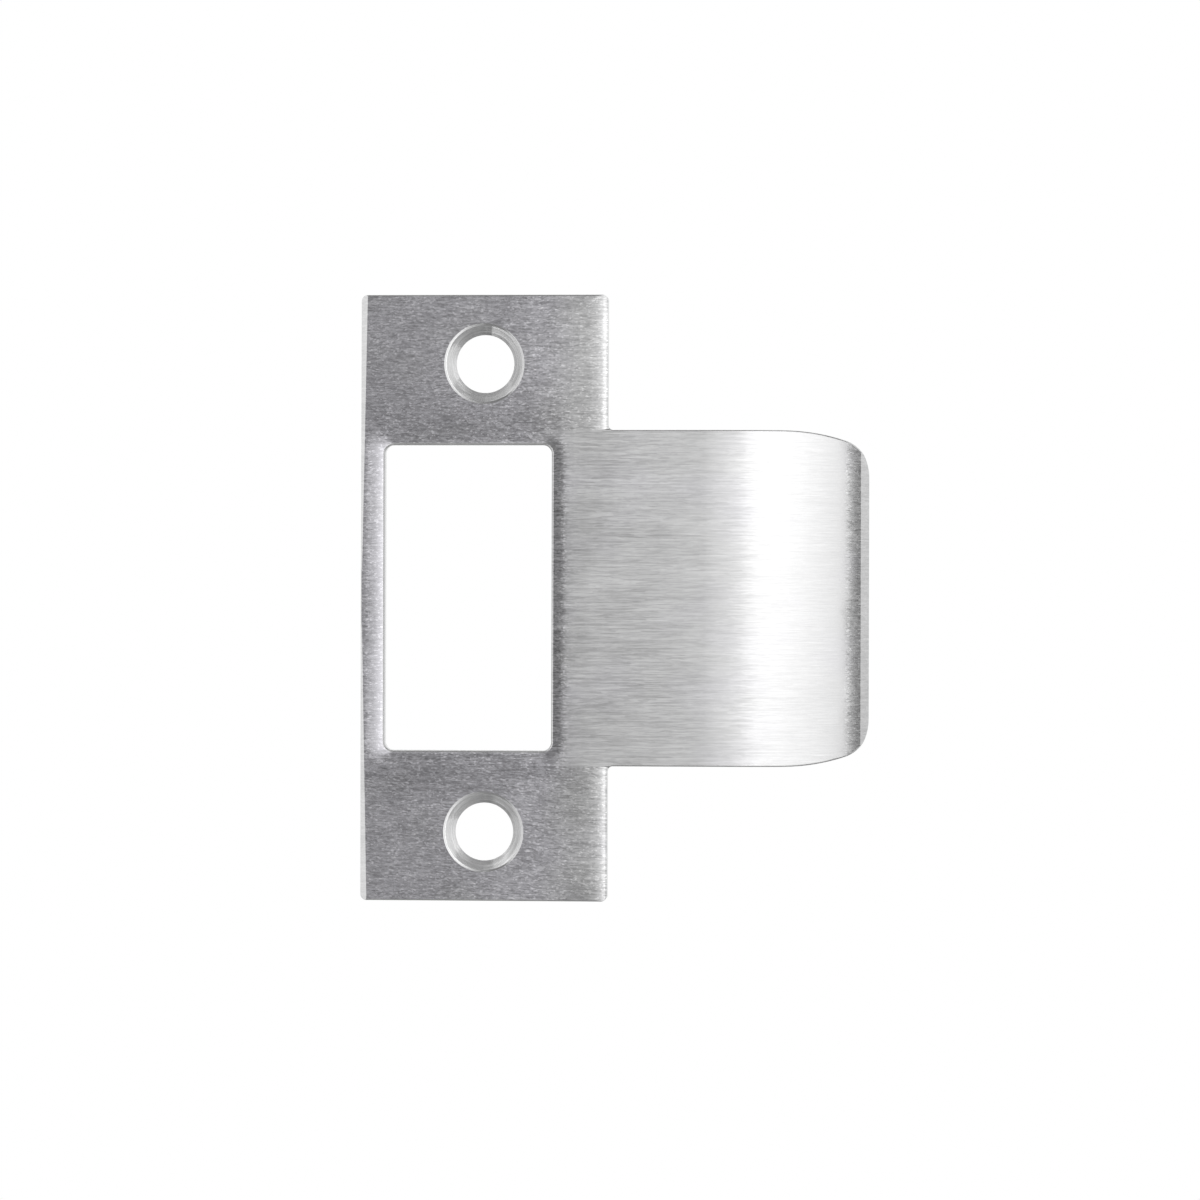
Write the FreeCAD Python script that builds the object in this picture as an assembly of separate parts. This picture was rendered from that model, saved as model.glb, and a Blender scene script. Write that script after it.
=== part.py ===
import FreeCAD, Part

import math
import os

# A one-piece door strike: a flat plate with a latch opening and two countersunk screw holes,
# and a lip that runs out from one long side and curls back.
# X runs towards the lip, Y from the front face into the jamb, Z up.
# The origin lies on the back face, midway between the two screws.

# Plate, millimetres
PLATE_HEIGHT = 69.85
PLATE_WIDTH = 28.575
SHEET = 1.6

# Screw holes, on the centre line of the plate
SCREW_END_DISTANCE = 7.9375
SCREW_HOLE_DIAMETER = 6.7
COUNTERSINK_DIAMETER = 9.0
COUNTERSINK_ANGLE = 82.0

# Latch opening, held by the strips of sheet left round it
FAR_STRIP = 2.8
LIP_STRIP = 6.5
TAB_HEIGHT = 17.33
LATCH_CORNER_RADIUS = 1.0

# Lip: a flat run, then a bend measured on the front face
LIP_HEIGHT = 38.7
LIP_FLAT = 11.1
LIP_BEND_RADIUS = 38.1
LIP_BEND_ANGLE = 30.0
LIP_ROOT_RADIUS = 0.65
LIP_SWEEP_RADIUS = 26.0
LIP_SWEEP_LENGTH = 10.75
LIP_NOSE_RADIUS = 4.5

# Bevels that brushing wears on the edges it crosses, measured along the front face:
# the far edge, widest at the plate's corners, and the end of the lip
FAR_BEVEL_CORNER = 0.75
FAR_BEVEL_MIDDLE = 0.1
FAR_BEVEL_ANGLE = 28.0
LIP_END_BEVEL = 1.35
LIP_END_BEVEL_ANGLE = 23.0

# Die roll: the front sinks on a shallow arc towards a blanked edge, round the latch opening
# and along the tabs beside the lip, where it ends in a short step
ROLL_START_ANGLE = 0.6
LATCH_ROLL_WIDTH = 1.6
LATCH_ROLL_ANGLE = 10.0
TAB_ROLL_WIDTH = 1.3
TAB_ROLL_ANGLE = 13.2
TAB_ROLL_STEP_SLOPE = 0.8

# Small roundings and broken edges
PLATE_CORNER_RADIUS = 0.7
FRONT_ROUND = 0.2
LATCH_EDGE_ROUND = 0.4
COUNTERSINK_RIM_BREAK = 0.15
BACK_BREAK = 0.12

# Cutters run this far past the surfaces they cut
PAST = 2.0

HALF_HEIGHT = PLATE_HEIGHT / 2.0
HALF_WIDTH = PLATE_WIDTH / 2.0
HALF_LIP = LIP_HEIGHT / 2.0
BEND_START = HALF_WIDTH + LIP_FLAT
BEND_ANGLE = math.radians(LIP_BEND_ANGLE)
SCREW_HEIGHT = HALF_HEIGHT - SCREW_END_DISTANCE
LATCH_LEFT = FAR_STRIP - HALF_WIDTH
LATCH_RIGHT = HALF_WIDTH - LIP_STRIP
LATCH_HALF_HEIGHT = HALF_HEIGHT - TAB_HEIGHT
TOUCH = 1e-4


def vec(x, y, z):
    return FreeCAD.Vector(x, y, z)


def line(start, end):
    return Part.makeLine(start, end)


def arc(start, middle, end):
    return Part.Arc(start, middle, end).toShape()


def prism(edges, travel):
    face = Part.Face(Part.Wire(Part.__sortEdges__(edges)))
    return face.extrude(travel)


def front_point(angle, depth):
    """Point of the bend, at an angle from its start and a depth below the front face."""
    radius = LIP_BEND_RADIUS - depth
    x = BEND_START + radius * math.sin(angle)
    y = LIP_BEND_RADIUS - SHEET - radius * math.cos(angle)
    return x, y


def bent_sheet():
    """Plate and lip as one strip of full height, run a little past the end of the lip."""
    end = BEND_ANGLE + PAST / LIP_BEND_RADIUS
    bottom = -HALF_HEIGHT - PAST
    left = -HALF_WIDTH - PAST

    def at(point):
        return vec(point[0], point[1], bottom)

    corners = [
        at((left, -SHEET)),
        at((BEND_START, -SHEET)),
        at(front_point(end, 0.0)),
        at(front_point(end, SHEET)),
        at((BEND_START, 0.0)),
        at((left, 0.0)),
    ]
    edges = [
        line(corners[0], corners[1]),
        arc(corners[1], at(front_point(end / 2.0, 0.0)), corners[2]),
        line(corners[2], corners[3]),
        arc(corners[3], at(front_point(end / 2.0, SHEET)), corners[4]),
        line(corners[4], corners[5]),
        line(corners[5], corners[0]),
    ]
    return prism(edges, vec(0, 0, 2.0 * (HALF_HEIGHT + PAST)))


def rounded_box(left, right, half_height, radius, front, back):
    """Upright rounded rectangle seen from the front, filled from front to back."""
    block = Part.makeBox(right - left, back - front, 2.0 * half_height, vec(left, front, -half_height))
    upright = [e for e in block.Edges if abs(e.Vertexes[0].Y - e.Vertexes[1].Y) > TOUCH]
    return block.makeFillet(radius, upright)


def lip_outline():
    """Outline of the lip, drawn square to the sheet at the lip's end and filled through the sheet.

    Distances back from the end run along the tangent of the bend there. The sides sweep in
    on a large arc, and a nose arc leads into the straight end.
    """
    along = vec(math.cos(BEND_ANGLE), math.sin(BEND_ANGLE), 0)
    outward = vec(math.sin(BEND_ANGLE), -math.cos(BEND_ANGLE), 0)
    end_x, end_y = front_point(BEND_ANGLE, 0.0)
    root = BEND_START * math.cos(BEND_ANGLE) + LIP_BEND_RADIUS * math.sin(BEND_ANGLE)
    depth = BEND_START * math.sin(BEND_ANGLE) + LIP_BEND_RADIUS * (1.0 - math.cos(BEND_ANGLE)) + SHEET
    base = vec(end_x, end_y, 0) + outward * PAST

    def at(back, height):
        return base - along * back + vec(0, 0, height)

    sweep, length, nose = LIP_SWEEP_RADIUS, LIP_SWEEP_LENGTH, LIP_NOSE_RADIUS
    nose_height = HALF_LIP - sweep + math.sqrt((sweep - nose) ** 2 - (length - nose) ** 2)
    turn = math.asin((length - nose) / (sweep - nose))

    def on_sweep(angle):
        return length - sweep * math.sin(angle), HALF_LIP - sweep + sweep * math.cos(angle)

    def on_nose(angle):
        return nose - nose * math.sin(angle), nose_height + nose * math.cos(angle)

    edges = [line(at(root, -HALF_LIP), at(root, HALF_LIP)), line(at(0, -nose_height), at(0, nose_height))]
    halfway = (turn + math.pi / 2.0) / 2.0
    run = [
        (root, HALF_LIP),
        on_sweep(0.0),
        on_sweep(turn / 2.0),
        on_sweep(turn),
        on_nose(halfway),
        (0, nose_height),
    ]
    for side in (-1, 1):
        side_run = [at(back, side * height) for back, height in run]
        edges.append(line(side_run[0], side_run[1]))
        edges.append(arc(side_run[1], side_run[2], side_run[3]))
        edges.append(arc(side_run[3], side_run[4], side_run[5]))
    return prism(edges, outward * -(depth + 2.0 * PAST))


def blank():
    """Bent sheet trimmed to the T-shaped outline."""
    plate = rounded_box(-HALF_WIDTH, HALF_WIDTH, HALF_HEIGHT, PLATE_CORNER_RADIUS, -SHEET - PAST, PAST)
    trimmed = bent_sheet().common(plate.fuse(lip_outline())).removeSplitter()
    solid = trimmed.Solids[0]
    roots = [e for e in solid.Edges if is_root(e)]
    return solid.makeFillet(LIP_ROOT_RADIUS, roots)


def is_root(edge):
    """True for the inner corners where the lip leaves the plate."""
    ends = edge.Vertexes
    if len(ends) != 2 or abs(abs(ends[0].Y - ends[1].Y) - SHEET) > TOUCH:
        return False
    return all(abs(v.X - HALF_WIDTH) < TOUCH and abs(abs(v.Z) - HALF_LIP) < TOUCH for v in ends)


def skin_border(solid, flat, bend_radius):
    """Edges round the skin made of the flat face at a given Y and the bend of a given radius."""
    skin = []
    for face in solid.Faces:
        surface = face.Surface
        if isinstance(surface, Part.Plane) and abs(surface.Axis.y) > 1.0 - TOUCH:
            if abs(face.CenterOfMass.y - flat) < TOUCH:
                skin.append(face)
        if isinstance(surface, Part.Cylinder) and abs(surface.Radius - bend_radius) < TOUCH:
            skin.append(face)
    edges = [e for face in skin for e in face.Edges]
    return [e for e in edges if sum(1 for other in edges if e.isSame(other)) == 1]


def bevel_cutter(start, end, away, into, angle):
    """Block over a bevel that leaves the front face on the line from start to end.

    The bevel runs away over the edge and, at its angle, into the sheet.
    """
    slope = math.radians(angle)
    run = away * math.cos(slope) + into * math.sin(slope)
    near = start - run * PAST
    far = start + run * 2.0 * PAST
    above = far - into * 4.0 * PAST
    return prism([line(near, far), line(far, above), line(above, near)], end - start)


def far_bevels():
    """Two bevels on the far edge, each widening from mid-height to a corner."""
    reach = (HALF_HEIGHT + PAST) / HALF_HEIGHT
    start = vec(-HALF_WIDTH + FAR_BEVEL_MIDDLE, -SHEET, 0)
    cutters = []
    for side in (-1, 1):
        travel = vec(FAR_BEVEL_CORNER - FAR_BEVEL_MIDDLE, 0, side * HALF_HEIGHT) * reach
        cutters.append(bevel_cutter(start, start + travel, vec(-1, 0, 0), vec(0, 1, 0), FAR_BEVEL_ANGLE))
    return cutters


def lip_end_bevel():
    """Straight bevel over the end of the lip, which its swept corners run out of."""
    angle = BEND_ANGLE - LIP_END_BEVEL / LIP_BEND_RADIUS
    x, y = front_point(angle, 0.0)
    away = vec(math.cos(angle), math.sin(angle), 0)
    into = vec(-math.sin(angle), math.cos(angle), 0)
    reach = HALF_LIP + PAST
    return bevel_cutter(vec(x, y, -reach), vec(x, y, reach), away, into, LIP_END_BEVEL_ANGLE)


def roll_section(edge_point, inwards, width, end_angle, overrun, lean=0.0):
    """Section over a die roll: an arc that starts at its width from the edge and steepens towards it.

    It overruns the edge, and leans along Z by a share of the depth below the front face.
    """
    start = math.radians(ROLL_START_ANGLE)
    end = math.radians(end_angle)
    radius = width / (math.sin(end) - math.sin(start))
    crown = -SHEET - radius + radius * math.cos(start)
    crown_distance = width + radius * math.sin(start)
    past = math.asin((crown_distance + overrun) / radius)

    def at(distance, y):
        return edge_point + inwards * distance + vec(0, y, lean * (y + SHEET))

    def on_arc(angle):
        return at(crown_distance - radius * math.sin(angle), crown + radius * (1.0 - math.cos(angle)))

    outer, middle, inner = on_arc(0.0), on_arc(past / 2.0), on_arc(past)
    outer_front = at(crown_distance, crown - PAST)
    inner_front = at(-overrun, crown - PAST)
    edges = [
        arc(outer, middle, inner),
        line(inner, inner_front),
        line(inner_front, outer_front),
        line(outer_front, outer),
    ]
    return Part.Face(Part.Wire(Part.__sortEdges__(edges)))


def latch_roll():
    """Die roll all round the latch opening, turned round its corners."""
    corner = LATCH_CORNER_RADIUS
    upright = LATCH_HALF_HEIGHT - corner
    across = LATCH_RIGHT - LATCH_LEFT - 2.0 * corner

    def section(edge_point, inwards):
        return roll_section(edge_point, inwards, LATCH_ROLL_WIDTH, LATCH_ROLL_ANGLE, corner / 2.0)

    pieces = []
    for side_x, edge_x in ((1, LATCH_RIGHT), (-1, LATCH_LEFT)):
        inwards = vec(side_x, 0, 0)
        pieces.append(section(vec(edge_x, 0, -upright), inwards).extrude(vec(0, 0, 2.0 * upright)))
        for side_z in (1, -1):
            centre = vec(edge_x - side_x * corner, 0, side_z * upright)
            profile = section(centre + inwards * corner, inwards)
            pieces.append(profile.revolve(centre, vec(0, 1, 0), -90.0 * side_x * side_z))
    for side_z in (1, -1):
        edge_point = vec(LATCH_LEFT + corner, 0, side_z * LATCH_HALF_HEIGHT)
        pieces.append(section(edge_point, vec(0, 0, side_z)).extrude(vec(across, 0, 0)))
    return pieces[0].multiFuse(pieces[1:]).removeSplitter()


def tab_rolls():
    """Die rolls along the edges of the two tabs beside the lip, from the lip's sides outwards."""
    cutters = []
    for side in (-1, 1):
        edge_point = vec(HALF_WIDTH, 0, side * HALF_LIP)
        lean = side * TAB_ROLL_STEP_SLOPE
        section = roll_section(edge_point, vec(-1, 0, 0), TAB_ROLL_WIDTH, TAB_ROLL_ANGLE, PAST, lean)
        cutters.append(section.extrude(vec(0, 0, side * (HALF_HEIGHT - HALF_LIP + PAST))))
    return cutters


def screw_hole(height):
    """Clearance hole with its countersink in the front face."""
    axis = vec(0, 1, 0)
    slope = math.tan(math.radians(COUNTERSINK_ANGLE / 2.0))
    rim = COUNTERSINK_DIAMETER / 2.0
    start = vec(0, -SHEET - PAST, height)
    hole = Part.makeCylinder(SCREW_HOLE_DIAMETER / 2.0, SHEET + 2.0 * PAST, start, axis)
    wide = rim + PAST * slope
    sink = Part.makeCone(wide, 0.0, wide / slope, start, axis)
    return hole.fuse(sink)


def circles(solid, y, radius):
    """Round edges of one radius lying at one Y."""
    found = []
    for edge in solid.Edges:
        curve = edge.Curve
        if isinstance(curve, Part.Circle) and abs(curve.Radius - radius) < TOUCH:
            if abs(curve.Center.y - y) < TOUCH and abs(curve.Axis.y) > 1.0 - TOUCH:
                found.append(edge)
    return found


def opening_edges(solid, front):
    """Edges of the latch opening on its front or back side."""
    reach = LATCH_HALF_HEIGHT + TOUCH
    found = []
    for edge in solid.Edges:
        box = edge.BoundBox
        inside = box.XMin > LATCH_LEFT - TOUCH and box.XMax < LATCH_RIGHT + TOUCH
        level = box.YLength < TOUCH and (box.YMax < -SHEET / 2.0) == front
        if inside and level and box.ZMin > -reach and box.ZMax < reach:
            found.append(edge)
    return found


def strike_plate():
    solid = blank()
    solid = solid.makeFillet(FRONT_ROUND, skin_border(solid, -SHEET, LIP_BEND_RADIUS))
    solid = solid.makeChamfer(BACK_BREAK, skin_border(solid, 0.0, LIP_BEND_RADIUS - SHEET))
    latch = rounded_box(LATCH_LEFT, LATCH_RIGHT, LATCH_HALF_HEIGHT, LATCH_CORNER_RADIUS, -SHEET - PAST, PAST)
    screw_holes = [screw_hole(side * SCREW_HEIGHT) for side in (-1, 1)]
    for cutter in far_bevels() + [lip_end_bevel()] + tab_rolls() + [latch_roll(), latch] + screw_holes:
        solid = solid.cut(cutter)
    solid = solid.makeFillet(LATCH_EDGE_ROUND, opening_edges(solid, True))
    solid = solid.makeChamfer(BACK_BREAK, opening_edges(solid, False))
    return solid.makeChamfer(COUNTERSINK_RIM_BREAK, circles(solid, -SHEET, COUNTERSINK_DIAMETER / 2.0))


os.makedirs("parts", exist_ok=True)
part = strike_plate()
print("valid", part.isValid(), "solids", len(part.Solids), "faces", len(part.Faces))
print("volume", round(part.Volume, 1), "box", part.optimalBoundingBox(False))
part.exportStep("parts/strike_plate.step")
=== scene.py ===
import math

import bpy
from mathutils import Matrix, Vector

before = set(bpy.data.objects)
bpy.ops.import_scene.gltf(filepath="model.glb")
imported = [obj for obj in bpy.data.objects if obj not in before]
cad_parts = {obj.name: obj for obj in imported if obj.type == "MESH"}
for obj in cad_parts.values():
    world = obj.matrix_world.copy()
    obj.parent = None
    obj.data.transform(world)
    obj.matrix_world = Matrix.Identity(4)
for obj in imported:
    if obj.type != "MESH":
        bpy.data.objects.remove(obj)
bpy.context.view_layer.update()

MM = 0.001
DEGREE = math.radians(1.0)
QUARTER_TURN = math.radians(90.0)

# Camera: level with the plate's middle, a little to the lip's side
VIEW_SPAN = 138.05 * MM
CAMERA_DISTANCE = 0.65
CAMERA_YAW = math.radians(4.9)
CAMERA_ROLL = math.radians(-0.15)
CAMERA_TARGET = Vector((13.45 * MM, -1.6 * MM, -0.22 * MM))
SENSOR = 36.0
CLIP_NEAR = 0.01
CLIP_FAR = 50.0

# Studio
WHITE = (1.0, 1.0, 1.0, 1.0)
WORLD_LEVEL = 0.31
FLOOR_LEVEL = -0.3
FLOOR_WIDTH = 8.0
FLOOR_LENGTH = 5.0
FLOOR_TONE = 0.66
FLOOR_ROUGHNESS = 0.9
BACKDROP_DEPTH = 0.9
BACKDROP_WIDTH = 6.2
BACKDROP_HEIGHT = 2.8
BACKDROP_TONE = 0.8
CARD_BOTTOM = -0.36
CARD_TOP = 0.40

# Light across each card, as (share of the width, radiance) pairs
KEY_LEVELS = [
    (0.0, 0.33), (0.11, 0.48), (0.15, 0.80), (0.18, 0.99), (0.254, 1.12), (0.32, 1.27), (0.355, 1.52),
    (0.39, 1.73), (0.50, 1.76), (0.61, 1.65), (0.71, 1.53), (0.83, 1.44), (1.0, 1.42),
]
CORNER_LEVELS = [(0.0, 0.31), (1.0, 0.30)]
RIGHT_LEVELS = [(0.0, 1.05), (0.35, 1.0), (0.5, 0.92), (1.0, 0.95)]
LEFT_LEVELS = [(0.0, 1.4), (0.4, 1.25), (0.62, 0.65), (1.0, 0.45)]

# Cards: name, start and end on the floor plan, levels, share of the light left at the bottom
CARDS = [
    ("key_card", (-0.10, -0.36), (0.47, -0.36), KEY_LEVELS, 1.0),
    ("corner_card", (0.47, -0.36), (0.50, -0.22), CORNER_LEVELS, 1.0),
    ("right_card", (0.50, -0.22), (0.50, 0.4), RIGHT_LEVELS, 1.0),
    ("left_card", (-0.30, -0.36), (-0.55, 0.3), LEFT_LEVELS, 0.8),
]

# Places on the part that its finish follows
SCREW_HEIGHT = 26.9875 * MM
CONE_RADIUS = 4.5 * MM
RIM_RADIUS = 4.66 * MM
LIP_SIDE = 19.35 * MM
TAB_EDGE = 14.2875 * MM
BEND_START = 25.3875 * MM
BEND_RADIUS = 38.1 * MM
BAND_START = 41.2 * MM
LATCH_MIDDLE = -1.85 * MM
LATCH_HALF_WIDTH = 9.6375 * MM
LATCH_HALF_HEIGHT = 17.595 * MM
LATCH_CORNER = 1.0 * MM

# Dip of the die rolls in degrees, over the share of the reach from the cut edge inwards
LATCH_REACH = 2.9 * MM
LATCH_FAR_DIP = [
    (0.0, 13.0), (0.10, 12.5), (0.18, 10.5), (0.26, 8.0), (0.34, 5.6), (0.42, 4.1), (0.50, 3.6),
    (0.58, 3.3), (0.66, 2.8), (0.73, 2.1), (0.81, 1.0), (0.9, 0.2), (1.0, 0.0),
]
LATCH_LIP_DIP = [
    (0.0, 11.0), (0.20, 9.5), (0.30, 7.0), (0.38, 5.3), (0.46, 3.0), (0.53, 0.95),
    (0.62, 0.4), (0.70, 0.2), (0.80, 0.0),
]
TAB_REACH = 2.6 * MM
TAB_DIP = [
    (0.0, 10.5), (0.115, 10.3), (0.17, 9.8), (0.223, 7.8), (0.28, 5.0), (0.323, 3.8),
    (0.37, 2.9), (0.46, 1.7), (0.59, 0.9), (0.81, 0.4), (1.0, 0.0),
]

# Zones: each pair gives the value where the zone fades out and the value where it is full
LIP_ZONE = (5.0 * MM, 12.5 * MM)
TAB_ZONE = (LIP_SIDE - 0.1 * MM, LIP_SIDE + 0.1 * MM)
UPPER_ZONE = (-1.0 * MM, 1.0 * MM)
LIP_HALF_ZONE = (LATCH_MIDDLE - 2.0 * MM, LATCH_MIDDLE + 2.0 * MM)
CONE_ZONE = (RIM_RADIUS, CONE_RADIUS)
CONE_DEPTH_ZONE = (-0.05 * MM, -0.15 * MM)
RIM_ZONE = (4.40 * MM, CONE_RADIUS)
BAND_ZONE = (BAND_START, BAND_START + 0.7 * MM)
ROLL_ZONE = (2.2 * MM, 1.0 * MM)
# Painted shade: the plate darker within a few millimetres above and below the opening
OPENING_SHADE_ZONE = (7.0 * MM, 1.5 * MM)
# Edge wear and painted highlight: lighter strip along the opening's top and bottom edges
WORN_HIGHLIGHT_ZONE = (0.5 * MM, 0.2 * MM)
# Painted shade: darker line along the tabs' cut edge by the lip
TAB_EDGE_SHADE_ZONE = (TAB_EDGE - 0.25 * MM, TAB_EDGE - 0.05 * MM)

# Zones on shares: agreement of two normals, direction from the opening, level of the grain
AGREEING = (0.965, 0.985)
OPPOSED = (-0.5, -0.7)
STRAIGHT_AWAY = (0.5, 0.95)
# Glints: painted highlights where the speckle grain is high, standing in for light caught by leaning grain
GLINT_LEVEL = (0.78, 0.9)
GLINT_ROOM = (1.0, 0.2)
SCRATCH_LEVEL = (0.85, 1.15)

# Grain: cells or waves per metre along X, Y and Z
SHORT_STROKES = (1500.0, 60.0, 6500.0)
SPECKLES = (4200.0, 60.0, 8000.0)
THREADS = (620.0, 60.0, 9000.0)
LONG_STROKES = (150.0, 30.0, 5200.0)
CLOUDS = (130.0, 30.0, 210.0)
SCRATCHES = (170.0, 30.0, 5200.0)
TINTS = (90.0, 30.0, 120.0)
NOISE_GAIN = 4.0
LOWER_SLANT = 0.07

# Share of each kind of stroke in the two grains
PLATE_THREADS = 0.5
PLATE_SPECKLES = 0.9
LIP_LONG_STROKES = 0.7
LIP_THREADS = 0.9
LIP_SHORT_STROKES = 0.4
TAB_STREAKS = 0.35

# Turned marks: waves per metre outwards and round, a radian counting as TURN_LENGTH
GROOVES = (6000.0, 1.0, 3000.0)
GROOVE_ROUGHNESS = 0.6
RINGS = (9000.0, 1.0, 900.0)
TURN_LENGTH = 0.2 * MM

# Painted light and shade round each countersink's clock, from six by nine, twelve and three back to six;
# the sharp step is where the tool was lifted
UPPER_CONE_PAINTED_LIGHT = [
    (0.0, 1.0), (0.09, 1.1), (0.17, 1.3), (0.25, 1.4), (0.34, 1.15), (0.42, 0.78), (0.53, 0.66),
    (0.537, 1.45), (0.62, 1.2), (0.71, 0.95), (0.81, 0.92), (0.91, 1.0), (1.0, 1.05),
]
LOWER_CONE_PAINTED_LIGHT = [
    (0.0, 0.95), (0.09, 1.2), (0.17, 1.45), (0.25, 1.35), (0.34, 1.1), (0.44, 0.9), (0.53, 0.75),
    (0.56, 1.1), (0.68, 1.05), (0.81, 1.0), (0.88, 1.25), (0.945, 1.4), (0.965, 1.0), (1.0, 0.95),
]

# Colour, and how far each mark lightens or darkens it; some of these are painted light and shade, as said
# at each
COOL_STEEL = (0.612, 0.605, 0.636, 1.0)
NEUTRAL_STEEL = (0.62, 0.62, 0.622, 1.0)
TINT_SHADE = 0.45
PLATE_GRAIN_SHADE = 0.17
LIP_GRAIN_SHADE = 0.043
ROLL_GRAIN_SHADE = 0.1
EDGE_GRAIN_SHARE = 0.25
FAR_ROLL_SHARE = 0.45
# Painted glints: highlight added to the colour on the plate's specks
PAINTED_GLINT_LIGHT = 0.25
CLOUD_SHADE = 0.05
# Painted shade near the opening's top and bottom
OPENING_PAINTED_SHADE = -0.18
# Edge wear and painted highlight on the opening's top and bottom edges
WORN_EDGE_HIGHLIGHT = 0.36
# Painted shade along the tabs' cut edge
TAB_EDGE_PAINTED_SHADE = -0.3
# Painted light: the lip lighter towards its top and darker towards its bottom, per metre of height
LIP_PAINTED_LIGHT_PER_METRE = 2.4
SCRATCH_SHADE = 0.06
TURNED_SHADE = 1.1
GROOVE_SHADE = 0.22
RIM_SHADE = 0.85

# How far each mark leans the normal
PLATE_GRAIN_LEAN = 0.007
LIP_GRAIN_LEAN = 0.010
LIP_ROLL_SHARE = 2.0
CLOUD_LEAN = 0.008
TAB_LEAN = -0.012
PLATE_TWIST = 0.003
LIP_TWIST = 0.005
GROOVE_LEAN = 0.12
RING_LEAN = 0.16

# Gloss
BRUSHED_ROUGHNESS = 0.25
CLOUD_ROUGHNESS = 0.02
TURNED_ROUGHNESS = 0.2
ANISOTROPY = 0.93
UPRIGHT = (0.0, 0.0, 1.0)

scene = bpy.context.scene
scene.view_settings.view_transform = "Standard"


def add_camera():
    camera = bpy.data.cameras.new("camera")
    camera.sensor_width = SENSOR
    camera.lens = SENSOR * CAMERA_DISTANCE / VIEW_SPAN
    camera.clip_start = CLIP_NEAR
    camera.clip_end = CLIP_FAR
    holder = bpy.data.objects.new("camera", camera)
    away = Vector((math.sin(CAMERA_YAW), -math.cos(CAMERA_YAW), 0.0))
    holder.location = CAMERA_TARGET + away * CAMERA_DISTANCE
    holder.rotation_euler = (QUARTER_TURN, CAMERA_ROLL, CAMERA_YAW)
    scene.collection.objects.link(holder)
    scene.camera = holder


class Graph:
    """Short hand for building a node tree: add() makes a node, and sockets or values fill its inputs."""

    def __init__(self, owner):
        owner.use_nodes = True
        self.tree = owner.node_tree
        self.tree.nodes.clear()

    def add(self, kind, inputs=None, **settings):
        made = self.tree.nodes.new("ShaderNode" + kind)
        for name, value in settings.items():
            setattr(made, name, value)
        for socket, value in (inputs or {}).items():
            self.fill(made.inputs[socket], value)
        return made

    def fill(self, socket, value):
        if isinstance(value, bpy.types.NodeSocket):
            self.tree.links.new(value, socket)
        else:
            socket.default_value = value

    def math(self, operation, a, b=0.0, c=0.0, clamp=False):
        made = self.add("Math", {0: a, 1: b, 2: c}, operation=operation, use_clamp=clamp)
        return made.outputs[0]

    def product(self, value, *factors):
        for factor in factors:
            value = self.math("MULTIPLY", value, factor)
        return value

    def total(self, value, *terms):
        """Value, plus a times b for each further (a, b) pair."""
        for a, b in terms:
            value = self.math("MULTIPLY_ADD", a, b, value)
        return value

    def rest(self, share):
        """What share leaves of 1."""
        return self.math("SUBTRACT", 1.0, share)

    def length(self, a, b):
        """Length of the vector whose two parts are a and b."""
        return self.math("SQRT", self.total(self.product(a, a), (b, b)))

    def step(self, value, low, high):
        """0 at low and before it, 1 at high and past it, smooth between."""
        inputs = {"Value": value, "From Min": low, "From Max": high}
        return self.add("MapRange", inputs, interpolation_type="SMOOTHSTEP").outputs[0]

    def mix(self, share, a, b, kind="FLOAT"):
        """From a to b by share; kind says what they are."""
        return self.add("Mix", {"Factor": share, "A": a, "B": b}, data_type=kind).outputs["Result"]

    def xyz(self, x=0.0, y=0.0, z=0.0):
        return self.add("CombineXYZ", {"X": x, "Y": y, "Z": z}).outputs[0]

    def vector(self, operation, *inputs):
        return self.add("VectorMath", dict(enumerate(inputs)), operation=operation).outputs["Vector"]

    def scale(self, vector, factor):
        return self.add("VectorMath", {0: vector, "Scale": factor}, operation="SCALE").outputs["Vector"]

    def dot(self, a, b):
        return self.add("VectorMath", {0: a, 1: b}, operation="DOT_PRODUCT").outputs["Value"]

    def noise(self, place, waves, detail=2.0, roughness=0.5):
        """Noise round 0, from about -1 to 1, with its own waves per metre along each axis."""
        stretched = self.vector("MULTIPLY", place, waves)
        inputs = {"Vector": stretched, "Scale": 1.0, "Detail": detail, "Roughness": roughness}
        made = self.add("TexNoise", inputs, noise_dimensions="3D")
        return self.math("MULTIPLY_ADD", made.outputs[0], NOISE_GAIN, -NOISE_GAIN / 2.0)

    def strokes(self, place, cells):
        """Even random levels from -1 to 1, one to a cell, with so many cells per metre along each axis."""
        inputs = {"Vector": self.vector("MULTIPLY", place, cells), "Scale": 1.0}
        made = self.add("TexVoronoi", inputs, voronoi_dimensions="3D")
        level = self.add("SeparateColor", {0: made.outputs["Color"]}).outputs[0]
        return self.math("MULTIPLY_ADD", level, 2.0, -1.0)

    def ramp(self, value, levels, interpolation):
        """Level that follows value through (place, level) pairs."""
        peak = max(level for _, level in levels)
        made = self.add("ValToRGB", {"Fac": value})
        made.color_ramp.interpolation = interpolation
        stops = made.color_ramp.elements
        while len(stops) < len(levels):
            stops.new(0.5)
        for stop, (share, level) in zip(stops, levels):
            stop.position = share
            stop.color = grey(level / peak)
        return self.product(made.outputs[0], peak)


def grey(level):
    return (level, level, level, 1.0)


def rectangle(name, width, height, material):
    """Upright rectangle round its own origin, facing along its own Y."""
    x, z = width / 2.0, height / 2.0
    mesh = bpy.data.meshes.new(name)
    mesh.from_pydata([(-x, 0, -z), (x, 0, -z), (x, 0, z), (-x, 0, z)], [], [(0, 1, 2, 3)])
    mesh.materials.append(material)
    obj = bpy.data.objects.new(name, mesh)
    scene.collection.objects.link(obj)
    return obj


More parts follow.
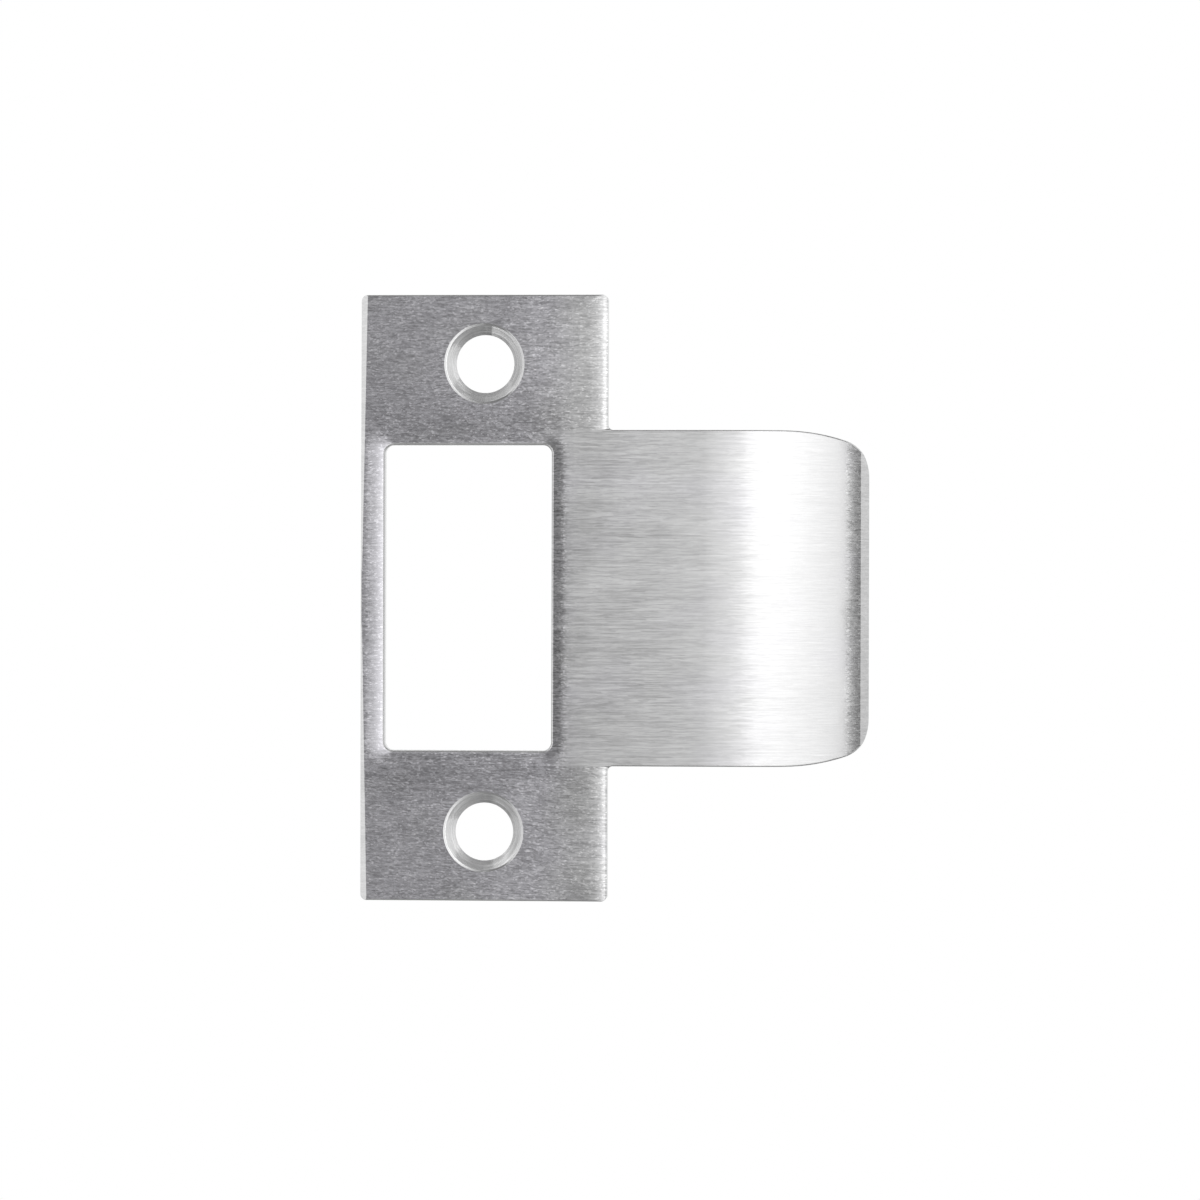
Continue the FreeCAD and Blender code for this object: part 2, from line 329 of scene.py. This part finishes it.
def glow_material(name, levels, lower):
    """Light that varies across a card by its levels, and from lower at the bottom to 1 at the top."""
    material = bpy.data.materials.new(name)
    graph = Graph(material)
    place = graph.add("SeparateXYZ", {0: graph.add("TexCoord").outputs["Generated"]})
    across = graph.ramp(place.outputs["X"], levels, "EASE")
    fall = graph.math("MULTIPLY_ADD", place.outputs["Z"], 1.0 - lower, lower)
    glow = graph.add("Emission", {"Color": WHITE, "Strength": graph.product(fall, across)})
    graph.add("OutputMaterial", {"Surface": glow.outputs[0]})
    return material


def light_card(name, start, end, levels, lower):
    """Upright card of soft light between two floor-plan points, which the camera doesn't see."""
    a, b = Vector((*start, 0.0)), Vector((*end, 0.0))
    card = rectangle(name, (b - a).length, CARD_TOP - CARD_BOTTOM, glow_material(name, levels, lower))
    card.location = (a + b) / 2.0 + Vector((0, 0, (CARD_TOP + CARD_BOTTOM) / 2.0))
    card.rotation_euler = (0.0, 0.0, math.atan2((b - a).y, (b - a).x))
    card.visible_camera = False


def backdrop_material():
    """Plain white to the camera and in reflections, and pale paint to all other light."""
    material = bpy.data.materials.new("backdrop_white")
    graph = Graph(material)
    path = graph.add("LightPath").outputs
    seen = graph.math("MAXIMUM", path["Is Camera Ray"], path["Is Glossy Ray"])
    seen = graph.math("MAXIMUM", seen, path["Is Transmission Ray"])
    paint = graph.add("BsdfDiffuse", {"Color": grey(BACKDROP_TONE)})
    glow = graph.add("Emission", {"Color": WHITE, "Strength": 1.0})
    mix = graph.add("MixShader", {"Fac": seen, 1: paint.outputs[0], 2: glow.outputs[0]})
    graph.add("OutputMaterial", {"Surface": mix.outputs[0]})
    return material


def floor_material():
    material = bpy.data.materials.new("floor_pale")
    graph = Graph(material)
    inputs = {"Base Color": grey(FLOOR_TONE), "Roughness": FLOOR_ROUGHNESS}
    graph.add("OutputMaterial", {"Surface": graph.add("BsdfPrincipled", inputs).outputs[0]})
    return material


def add_studio():
    world = bpy.data.worlds.new("studio")
    scene.world = world
    graph = Graph(world)
    background = graph.add("Background", {"Color": grey(WORLD_LEVEL)})
    graph.add("OutputWorld", {"Surface": background.outputs[0]})

    backdrop = rectangle("backdrop", BACKDROP_WIDTH, BACKDROP_HEIGHT, backdrop_material())
    backdrop.location = (0.0, BACKDROP_DEPTH, FLOOR_LEVEL + BACKDROP_HEIGHT / 2.0)
    floor = rectangle("floor", FLOOR_WIDTH, FLOOR_LENGTH, floor_material())
    floor.rotation_euler = (QUARTER_TURN, 0.0, 0.0)
    floor.location = (0.0, BACKDROP_DEPTH - FLOOR_LENGTH / 2.0, FLOOR_LEVEL)
    for card in CARDS:
        light_card(*card)


class Steel(Graph):
    """Satin steel: short grain on the plate, long streaks on the lip, turned marks in the countersinks, and
    painted light and shade in its colour.
    """

    def __init__(self, material):
        super().__init__(material)
        place = self.add("TexCoord").outputs["Object"]
        at = self.add("SeparateXYZ", {0: place}).outputs
        self.x, self.y, self.z = at["X"], at["Y"], at["Z"]
        self.find_screw()
        self.find_opening()
        self.find_zones()
        self.brush()
        self.turn()

        # Highlights stretch across the marks: upright on the brushed faces, outwards in the countersinks
        across = self.mix(self.cone, UPRIGHT, self.outward, "VECTOR")
        brushed_roughness = self.total(BRUSHED_ROUGHNESS, (self.cloud, CLOUD_ROUGHNESS))
        shader = self.add("BsdfPrincipled", {
            "Base Color": self.colour(),
            "Metallic": 1.0,
            "Roughness": self.mix(self.cone, brushed_roughness, TURNED_ROUGHNESS),
            "Anisotropic": ANISOTROPY,
            "Normal": self.normal(),
            "Tangent": across,
        })
        self.add("OutputMaterial", {"Surface": shader.outputs[0]})

    def find_screw(self):
        """Height above the nearer screw's axis, and the distance and direction from it."""
        self.up = self.total(self.z, (self.math("SIGN", self.z), -SCREW_HEIGHT))
        self.radius = self.length(self.x, self.up)
        self.outward = self.xyz(x=self.x, z=self.up)

    def find_opening(self):
        """Direction away from the latch opening, sideways and upwards, and the distance from its edge."""
        offsets = (self.math("SUBTRACT", self.x, LATCH_MIDDLE), self.z)
        past = []
        for offset, half in zip(offsets, (LATCH_HALF_WIDTH, LATCH_HALF_HEIGHT)):
            beyond = self.math("SUBTRACT", self.math("ABSOLUTE", offset), half - LATCH_CORNER)
            past.append(self.math("MAXIMUM", beyond, 0.0))
        reach = self.length(*past)
        self.away = []
        for offset, beyond in zip(offsets, past):
            signed = self.product(self.math("SIGN", offset), beyond)
            self.away.append(self.math("DIVIDE", signed, reach))
        self.distance = self.math("SUBTRACT", reach, LATCH_CORNER)

    def find_zones(self):
        """Where each finish lies, from 0 to 1, and the normal without facets."""
        self.lip = self.step(self.x, *LIP_ZONE)
        self.tabs = self.step(self.math("ABSOLUTE", self.z), *TAB_ZONE)
        self.upper = self.step(self.z, *UPPER_ZONE)
        self.lip_half = self.step(self.x, *LIP_HALF_ZONE)
        self.cone = self.product(self.step(self.radius, *CONE_ZONE), self.step(self.y, *CONE_DEPTH_ZONE))
        self.rim = self.product(self.cone, self.step(self.radius, *RIM_ZONE))

        mesh_normal = self.add("NewGeometry").outputs["Normal"]
        front = self.front_normal()
        match = self.dot(mesh_normal, front)
        on_front = self.product(self.step(match, *AGREEING), self.rest(self.cone))
        self.smooth = self.mix(on_front, mesh_normal, front, "VECTOR")
        self.facing = self.step(self.math("ABSOLUTE", match), *AGREEING)
        back = self.step(match, *OPPOSED)
        not_back = self.rest(back)

        # Only the front and the edges have the lip's dark end band, the rolls' grain, the opening's painted
        # shade and its worn, painted-highlight edge
        beside, self.level_edge = (
            self.product(self.step(self.math("ABSOLUTE", part), *STRAIGHT_AWAY), not_back)
            for part in self.away
        )
        beside = self.product(beside, self.step(self.distance, *ROLL_ZONE))
        self.lip_roll = self.product(beside, self.lip_half)
        self.far_roll = self.math("SUBTRACT", beside, self.lip_roll)
        self.band = self.product(self.step(self.x, *BAND_ZONE), not_back)
        streaked = self.product(
            self.lip,
            self.rest(self.band),
            self.mix(self.tabs, 1.0, TAB_STREAKS),
            self.rest(self.lip_roll),
        )
        self.streaked = self.math("MAXIMUM", streaked, back)

    def front_normal(self):
        """Normal of the front, with its die rolls and the lip's bend, without the facets of the mesh."""
        share = self.math("DIVIDE", self.distance, LATCH_REACH)
        far = self.ramp(share, LATCH_FAR_DIP, "LINEAR")
        near = self.ramp(share, LATCH_LIP_DIP, "LINEAR")
        latch = self.product(self.mix(self.lip_half, far, near), -DEGREE)
        inward = self.math("SUBTRACT", TAB_EDGE, self.x)
        tab = self.ramp(self.math("DIVIDE", inward, TAB_REACH), TAB_DIP, "LINEAR")
        tab = self.product(tab, DEGREE, self.tabs)
        past_start = self.math("SUBTRACT", self.x, BEND_START)
        bend = self.math("DIVIDE", past_start, BEND_RADIUS, clamp=True)
        forward = self.math("SQRT", self.rest(self.product(bend, bend)))
        x = self.math("ADD", self.total(tab, (latch, self.away[0])), bend)
        leant = self.xyz(x, self.product(forward, -1.0), self.product(latch, self.away[1]))
        return self.vector("NORMALIZE", leant)

    def brush(self):
        """Brushed grain, slanted on the lower tab."""
        slant = self.product(self.tabs, self.rest(self.upper), LOWER_SLANT)
        place = self.xyz(self.x, self.y, self.total(self.z, (slant, self.x)))
        short = self.strokes(place, SHORT_STROKES)
        speckle = self.strokes(place, SPECKLES)
        thread = self.strokes(place, THREADS)
        long = self.strokes(place, LONG_STROKES)
        plate_grain = self.total(short, (thread, PLATE_THREADS), (speckle, PLATE_SPECKLES))
        lip_grain = self.product(long, LIP_LONG_STROKES)
        lip_grain = self.total(lip_grain, (thread, LIP_THREADS), (short, LIP_SHORT_STROKES))
        self.grain = self.mix(self.streaked, plate_grain, lip_grain)
        # Painted glints: specks of painted highlight where the speckle grain is high, off the streaked lip
        self.painted_glint = self.product(self.step(speckle, *GLINT_LEVEL), self.step(self.streaked, *GLINT_ROOM))
        self.scratch = self.step(self.noise(place, SCRATCHES, detail=0.0), *SCRATCH_LEVEL)
        self.cloud = self.noise(place, CLOUDS)
        self.tint = self.noise(place, TINTS)

    def turn(self):
        """Turned grooves and rings, and painted light and shade round each countersink, with a sharp step
        where the tool was lifted.
        """
        angle = self.math("ARCTAN2", self.x, self.up)
        place = self.xyz(x=self.radius, z=self.product(angle, TURN_LENGTH))
        self.groove = self.noise(place, GROOVES, roughness=GROOVE_ROUGHNESS)
        self.ring = self.noise(place, RINGS, detail=1.0)
        clock = self.math("MULTIPLY_ADD", angle, 0.5 / math.pi, 0.5)
        # Painted light and shade round each countersink's clock
        upper_light = self.ramp(clock, UPPER_CONE_PAINTED_LIGHT, "LINEAR")
        lower_light = self.ramp(clock, LOWER_CONE_PAINTED_LIGHT, "LINEAR")
        self.cone_light = self.mix(self.upper, lower_light, upper_light)

    def colour(self):
        """Tone of the steel, cooler in parts of the plate, under the shade of all its marks, with painted
        glints, painted shade near the opening and at the tabs' cut edge, a worn and painted highlight on
        the opening's edge, painted light brighter towards the lip's top, and painted light and shade in the
        countersinks.
        """
        depth = self.mix(self.streaked, PLATE_GRAIN_SHADE, LIP_GRAIN_SHADE)
        depth = self.product(depth, self.mix(self.far_roll, 1.0, FAR_ROLL_SHARE))
        depth = self.total(depth, (self.math("ADD", self.band, self.lip_roll), ROLL_GRAIN_SHADE))
        depth = self.product(depth, self.mix(self.facing, EDGE_GRAIN_SHARE, 1.0))
        # Painted shade: the plate darker near the opening's top and bottom edges
        opening_shade = self.product(self.level_edge, self.step(self.distance, *OPENING_SHADE_ZONE))
        # Edge wear and painted highlight: lighter strip along the opening's top and bottom edges
        worn_edge_highlight = self.product(self.level_edge, self.step(self.distance, *WORN_HIGHLIGHT_ZONE))
        # Painted shade: darker line along the tabs' cut edge
        tab_edge_shade = self.product(self.tabs, self.step(self.x, *TAB_EDGE_SHADE_ZONE))
        brushed = self.total(
            1.0,
            (self.grain, depth),
            # painted glints on the plate's specks
            (self.painted_glint, self.product(self.facing, PAINTED_GLINT_LIGHT)),
            (self.cloud, CLOUD_SHADE),
            # painted shade near the opening
            (opening_shade, OPENING_PAINTED_SHADE),
            # worn edge and painted highlight along the opening
            (worn_edge_highlight, WORN_EDGE_HIGHLIGHT),
            # painted shade at the tabs' cut edge
            (tab_edge_shade, TAB_EDGE_PAINTED_SHADE),
            # painted light, the lip lighter towards its top
            (self.product(self.lip, self.z), LIP_PAINTED_LIGHT_PER_METRE),
            (self.scratch, SCRATCH_SHADE),
        )
        # The countersinks' colour: turned grooves under painted light and shade
        turned = self.product(self.total(TURNED_SHADE, (self.groove, GROOVE_SHADE)), self.cone_light)
        turned = self.mix(self.rim, turned, RIM_SHADE)
        neutral = self.math("MULTIPLY_ADD", self.tint, TINT_SHADE, self.lip, clamp=True)
        neutral = self.math("MAXIMUM", neutral, self.rest(self.facing))
        tone = self.mix(neutral, COOL_STEEL, NEUTRAL_STEEL, "RGBA")
        return self.scale(tone, self.mix(self.cone, brushed, turned))

    def normal(self):
        """Normal that the grain leans sideways and the turned marks lean outwards and round."""
        lean = self.product(
            self.grain,
            self.mix(self.streaked, PLATE_GRAIN_LEAN, LIP_GRAIN_LEAN),
            self.mix(self.far_roll, self.mix(self.lip_roll, 1.0, LIP_ROLL_SHARE), FAR_ROLL_SHARE),
        )
        # The tabs lie slightly off the lip, and each a little differently
        twist = self.mix(self.lip, PLATE_TWIST, LIP_TWIST)
        twist = self.total(TAB_LEAN, (self.math("SIGN", self.z), twist))
        lean = self.total(lean, (self.cloud, CLOUD_LEAN), (self.tabs, twist))
        ridge = self.product(self.groove, GROOVE_LEAN / CONE_RADIUS)
        wobble = self.product(self.ring, RING_LEAN / CONE_RADIUS)
        around = self.xyz(x=self.up, z=self.product(self.x, -1.0))
        turned = self.vector("MULTIPLY_ADD", around, wobble, self.scale(self.outward, ridge))
        swayed = self.mix(self.cone, self.xyz(x=lean), turned, "VECTOR")
        return self.vector("NORMALIZE", self.vector("ADD", self.smooth, swayed))


add_camera()
add_studio()

satin_steel = bpy.data.materials.new("satin_steel")
Steel(satin_steel)
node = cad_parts["strike_plate"]
node.data.materials.clear()
node.data.materials.append(satin_steel)
